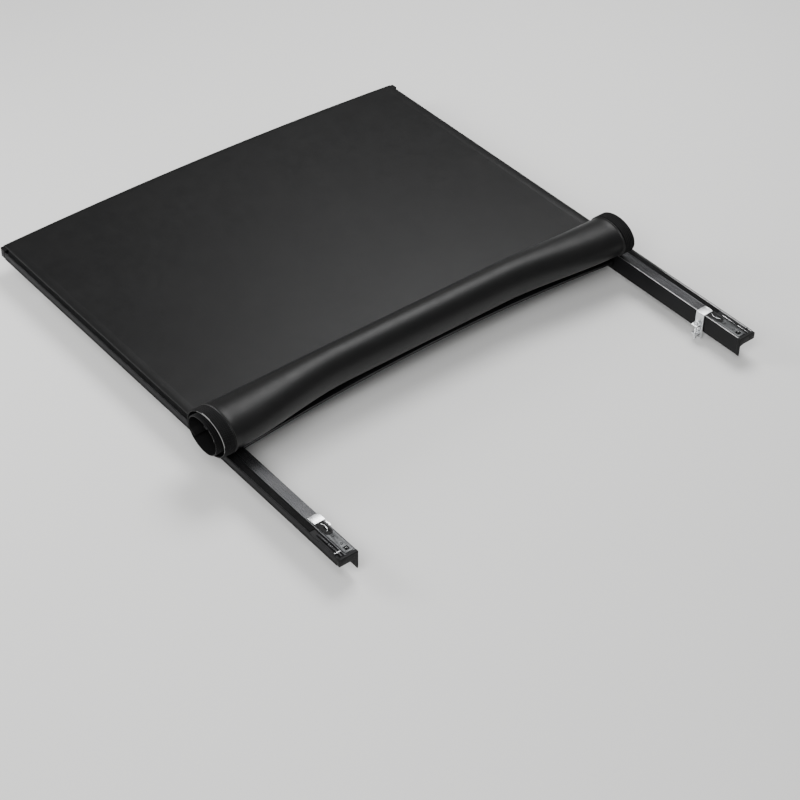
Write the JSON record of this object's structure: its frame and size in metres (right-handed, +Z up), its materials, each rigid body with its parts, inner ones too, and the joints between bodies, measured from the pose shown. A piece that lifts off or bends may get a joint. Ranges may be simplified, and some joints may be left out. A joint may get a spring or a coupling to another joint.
{
  "type": "roll-up tonneau cover",
  "caption": "Roll-up pickup bed cover on side rails with cross bows, clamps and end latches, rolled part way toward the cab.",
  "frame": {"origin": "centre of the cover's plan, on the plane of the bed rail caps that the side rails sit on", "axes": "+X to the right side of the bed, +Y forward to the cab, +Z up"},
  "size_m": [1.6125, 1.7544, 0.2299],
  "materials": {
    "rail_black": "satin",
    "hook_tape": "matte",
    "seal_rubber": "matte",
    "moulded_black": "matte",
    "latch_steel": "satin",
    "striker_steel": "polished",
    "clamp_alloy": "satin",
    "bolt_zinc": "satin",
    "cover_vinyl": "matte",
    "loop_tape": "matte",
    "webbing": "matte",
    "screw_black": "satin",
    "spring_steel": "satin"
  },
  "bodies": {
    "frame": {"side_rail_left": "rail_black", "hook_tape_left": "hook_tape", "rail_seal_left": "seal_rubber", "rail_end_cap_left": "moulded_black", "striker_bar_left": "striker_steel", "latch_plate_left": "latch_steel", "corner_casting_left": "moulded_black", "storage_strap_left": "webbing", "clamp_bracket_front_left": "clamp_alloy", "clamp_bracket_middle_left": "clamp_alloy", "clamp_bracket_rear_left": "clamp_alloy", "side_rail_right": "rail_black", "hook_tape_right": "hook_tape", "rail_seal_right": "seal_rubber", "rail_end_cap_right": "moulded_black", "striker_bar_right": "striker_steel", "latch_plate_right": "latch_steel", "corner_casting_right": "moulded_black", "storage_strap_right": "webbing", "clamp_bracket_front_right": "clamp_alloy", "clamp_bracket_middle_right": "clamp_alloy", "clamp_bracket_rear_right": "clamp_alloy", "latch_plate_screws": "screw_black", "corner_screws": "screw_black", "header_rail": "rail_black", "header_keder": "seal_rubber", "header_seal": "seal_rubber", "strap_buckles": "moulded_black", "cover_sheet": "cover_vinyl", "side_loop_tapes": "loop_tape", "bow_end_plugs": "moulded_black", "bow_front": "rail_black", "bow_middle": "rail_black", "bow_rear": "rail_black"},
    "roll_carriage": {"cover_roll": "cover_vinyl", "roll_loop_tapes": "loop_tape"},
    "bar_core": {"tailgate_bar": "rail_black", "tailgate_seal": "seal_rubber", "bar_end_plugs": "moulded_black", "latch_spring_left": "spring_steel", "latch_spring_right": "spring_steel"},
    "latch_hook_left": {"latch_hook_left": "striker_steel"},
    "latch_pawl_left": {"latch_pawl_left": "striker_steel"},
    "tension_knob_left": {"tension_knob_left": "moulded_black"},
    "clamp_bolt_front_left": {"clamp_bolt_front_left": "bolt_zinc"},
    "clamp_jaw_front_left": {"clamp_jaw_front_left": "clamp_alloy"},
    "clamp_bolt_middle_left": {"clamp_bolt_middle_left": "bolt_zinc"},
    "clamp_jaw_middle_left": {"clamp_jaw_middle_left": "clamp_alloy"},
    "clamp_bolt_rear_left": {"clamp_bolt_rear_left": "bolt_zinc"},
    "clamp_jaw_rear_left": {"clamp_jaw_rear_left": "clamp_alloy"},
    "latch_hook_right": {"latch_hook_right": "striker_steel"},
    "latch_pawl_right": {"latch_pawl_right": "striker_steel"},
    "tension_knob_right": {"tension_knob_right": "moulded_black"},
    "clamp_bolt_front_right": {"clamp_bolt_front_right": "bolt_zinc"},
    "clamp_jaw_front_right": {"clamp_jaw_front_right": "clamp_alloy"},
    "clamp_bolt_middle_right": {"clamp_bolt_middle_right": "bolt_zinc"},
    "clamp_jaw_middle_right": {"clamp_jaw_middle_right": "clamp_alloy"},
    "clamp_bolt_rear_right": {"clamp_bolt_rear_right": "bolt_zinc"},
    "clamp_jaw_rear_right": {"clamp_jaw_rear_right": "clamp_alloy"}
  },
  "joints": [
    {"name": "roll_travel", "type": "slide", "parent": "frame", "child": "roll_carriage", "axis": [0, 1, 0], "range_m": [0, 1], "deforming": ["cover_sheet", "side_loop_tapes"]},
    {"name": "core_turn", "type": "hinge", "parent": "roll_carriage", "child": "bar_core", "pos_m": [0, -0.285, 0.0935], "axis": [1, 0, 0], "range_deg": [-935, 0]},
    {"name": "latch_hook_left_slide", "type": "slide", "parent": "bar_core", "child": "latch_hook_left", "axis": [1, 0, 0], "range_m": [0, 0.006], "stiffness_N_per_m": 400, "springref_m": -0.004, "deforming": ["latch_spring_left"]},
    {"name": "latch_pawl_left_hinge", "type": "hinge", "parent": "frame", "child": "latch_pawl_left", "pos_m": [-0.746, -0.843, 0.017], "axis": [1, 0, 0], "range_deg": [0, 15], "stiffness_Nm_per_rad": 0.05, "springref_deg": -11.46},
    {"name": "tension_knob_left_turn", "type": "hinge", "parent": "frame", "child": "tension_knob_left", "pos_m": [-0.715, 0.863, 0.012], "axis": [1, 0, 0], "range_deg": [-180, 180]},
    {"name": "clamp_bolt_front_left_turn", "type": "hinge", "parent": "frame", "child": "clamp_bolt_front_left", "pos_m": [-0.71, 0.7, -0.03], "axis": [0, 0, 1], "range_deg": [0, 2170]},
    {"name": "clamp_jaw_front_left_slide", "type": "slide", "parent": "frame", "child": "clamp_jaw_front_left", "axis": [0, 0, -1], "range_m": [0, 0.0075]},
    {"name": "clamp_bolt_middle_left_turn", "type": "hinge", "parent": "frame", "child": "clamp_bolt_middle_left", "pos_m": [-0.71, -0.005, -0.03], "axis": [0, 0, 1], "range_deg": [0, 2170]},
    {"name": "clamp_jaw_middle_left_slide", "type": "slide", "parent": "frame", "child": "clamp_jaw_middle_left", "axis": [0, 0, -1], "range_m": [0, 0.0075]},
    {"name": "clamp_bolt_rear_left_turn", "type": "hinge", "parent": "frame", "child": "clamp_bolt_rear_left", "pos_m": [-0.71, -0.711, -0.03], "axis": [0, 0, 1], "range_deg": [0, 2170]},
    {"name": "clamp_jaw_rear_left_slide", "type": "slide", "parent": "frame", "child": "clamp_jaw_rear_left", "axis": [0, 0, -1], "range_m": [0, 0.0075]},
    {"name": "latch_hook_right_slide", "type": "slide", "parent": "bar_core", "child": "latch_hook_right", "axis": [-1, 0, 0], "range_m": [0, 0.006], "stiffness_N_per_m": 400, "springref_m": -0.004, "deforming": ["latch_spring_right"]},
    {"name": "latch_pawl_right_hinge", "type": "hinge", "parent": "frame", "child": "latch_pawl_right", "pos_m": [0.746, -0.843, 0.017], "axis": [1, 0, 0], "range_deg": [0, 15], "stiffness_Nm_per_rad": 0.05, "springref_deg": -11.46},
    {"name": "tension_knob_right_turn", "type": "hinge", "parent": "frame", "child": "tension_knob_right", "pos_m": [0.715, 0.863, 0.012], "axis": [1, 0, 0], "range_deg": [-180, 180]},
    {"name": "clamp_bolt_front_right_turn", "type": "hinge", "parent": "frame", "child": "clamp_bolt_front_right", "pos_m": [0.71, 0.7, -0.03], "axis": [0, 0, 1], "range_deg": [0, 2170]},
    {"name": "clamp_jaw_front_right_slide", "type": "slide", "parent": "frame", "child": "clamp_jaw_front_right", "axis": [0, 0, -1], "range_m": [0, 0.0075]},
    {"name": "clamp_bolt_middle_right_turn", "type": "hinge", "parent": "frame", "child": "clamp_bolt_middle_right", "pos_m": [0.71, -0.005, -0.03], "axis": [0, 0, 1], "range_deg": [0, 2170]},
    {"name": "clamp_jaw_middle_right_slide", "type": "slide", "parent": "frame", "child": "clamp_jaw_middle_right", "axis": [0, 0, -1], "range_m": [0, 0.0075]},
    {"name": "clamp_bolt_rear_right_turn", "type": "hinge", "parent": "frame", "child": "clamp_bolt_rear_right", "pos_m": [0.71, -0.711, -0.03], "axis": [0, 0, 1], "range_deg": [0, 2170]},
    {"name": "clamp_jaw_rear_right_slide", "type": "slide", "parent": "frame", "child": "clamp_jaw_rear_right", "axis": [0, 0, -1], "range_m": [0, 0.0075]}
  ],
  "couplings": [
    {"joint": "core_turn", "follows": "roll_travel", "rad_per_m": -16.26},
    {"joint": "clamp_bolt_front_left_turn", "follows": "clamp_jaw_front_left_slide", "rad_per_m": 5026.6},
    {"joint": "clamp_bolt_middle_left_turn", "follows": "clamp_jaw_middle_left_slide", "rad_per_m": 5026.6},
    {"joint": "clamp_bolt_rear_left_turn", "follows": "clamp_jaw_rear_left_slide", "rad_per_m": 5026.6},
    {"joint": "clamp_bolt_front_right_turn", "follows": "clamp_jaw_front_right_slide", "rad_per_m": 5026.6},
    {"joint": "clamp_bolt_middle_right_turn", "follows": "clamp_jaw_middle_right_slide", "rad_per_m": 5026.6},
    {"joint": "clamp_bolt_rear_right_turn", "follows": "clamp_jaw_rear_right_slide", "rad_per_m": 5026.6}
  ]
}
